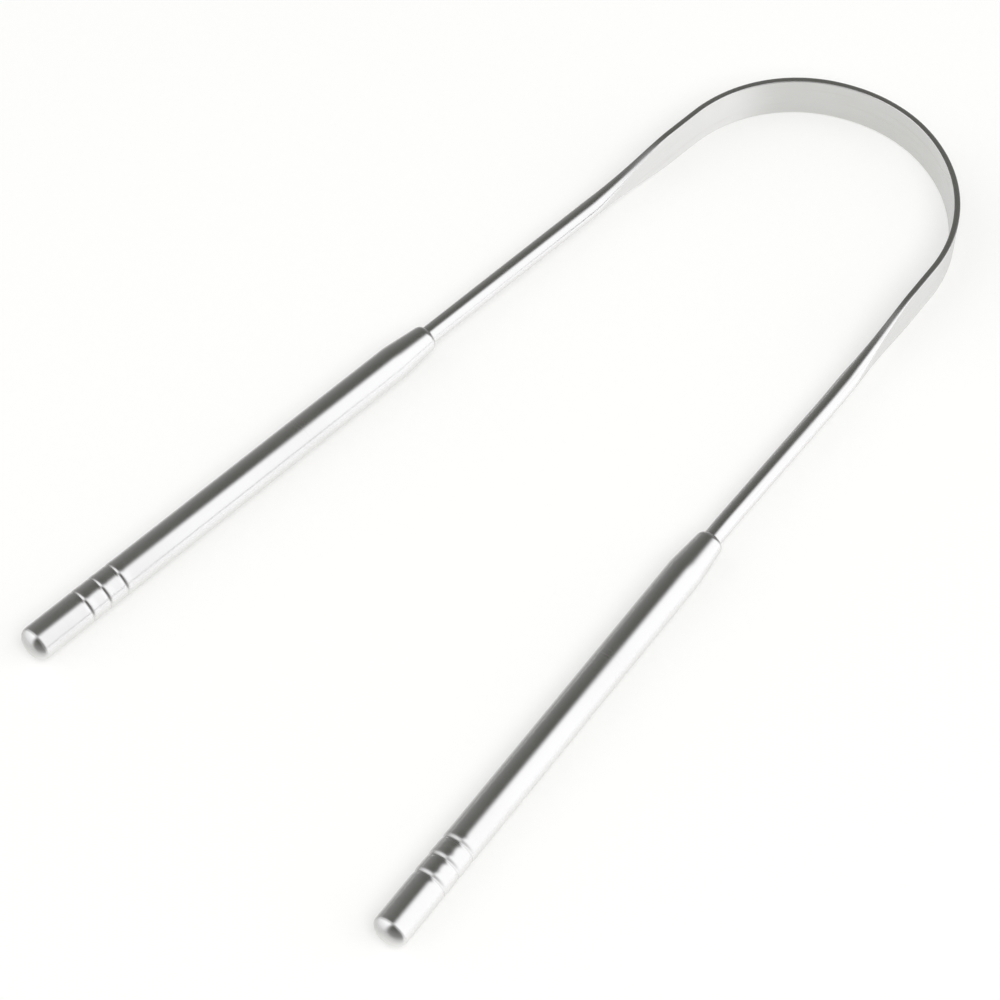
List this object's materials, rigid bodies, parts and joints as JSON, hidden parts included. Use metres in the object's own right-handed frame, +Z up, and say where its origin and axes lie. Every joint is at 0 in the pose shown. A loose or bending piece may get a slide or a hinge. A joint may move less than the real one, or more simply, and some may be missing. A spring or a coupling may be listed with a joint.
{
  "type": "tongue scraper",
  "caption": "Steel wire bow rolled flat into a U-shaped scraping loop, with a hollow tube handle swaged onto each arm and a domed plug in each tail.",
  "frame": {"origin": "under the middle of the part, level with the lower edge of the band", "axes": "+Y along the scraper's axis towards the scraping loop, +X across the two arms, +Z up along the band's height"},
  "size_m": [0.0739, 0.1602, 0.0076],
  "materials": {
    "polished_wire": "mirror-polished stainless steel",
    "polished_tube": "mirror-polished stainless steel",
    "polished_plug": "polished stainless steel"
  },
  "bodies": {
    "root": {"scraper_bow": "polished_wire", "left_handle_sleeve": "polished_tube", "right_handle_sleeve": "polished_tube", "left_end_plug": "polished_plug", "right_end_plug": "polished_plug"}
  },
  "joints": []
}
